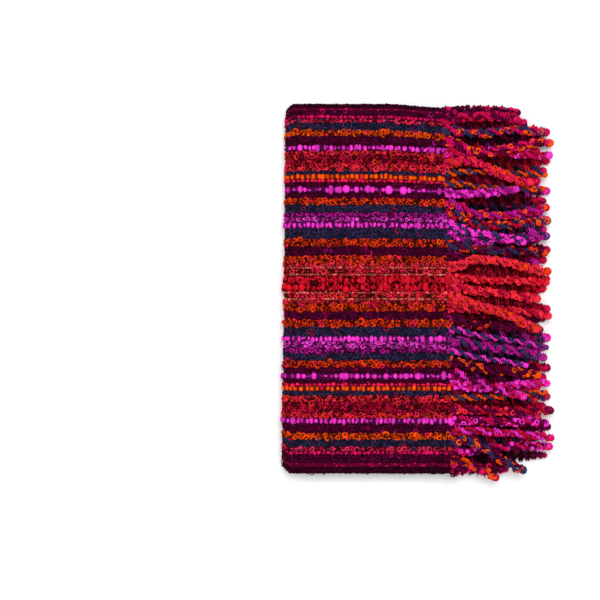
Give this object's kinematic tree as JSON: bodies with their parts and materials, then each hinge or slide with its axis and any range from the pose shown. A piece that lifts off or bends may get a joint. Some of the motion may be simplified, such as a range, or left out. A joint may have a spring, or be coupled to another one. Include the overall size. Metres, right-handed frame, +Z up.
{
  "type": "folded scarf",
  "caption": "Hand-woven bouclé scarf in warp stripes of reds, pinks, orange and navy, folded flat with its twisted fringes at one side.",
  "frame": {"origin": "middle of the folded scarf's footprint, on the surface that it lies on", "axes": "+X along the warp stripes towards the fringe, +Y across the cloth's width towards its back selvedge, +Z up out of the surface"},
  "size_m": [0.2748, 0.3776, 0.0326],
  "materials": {
    "woven_cloth": "looped bouclé weave, matt with a soft nap",
    "inner_cloth": "looped bouclé weave, matt with a soft nap",
    "fringe_yarn": "twisted bouclé yarn, matt"
  },
  "bodies": {
    "root": {"outer_layer": "woven_cloth", "hidden_layers": "inner_cloth", "fringe_top": "fringe_yarn", "fringe_under": "fringe_yarn"}
  },
  "joints": []
}
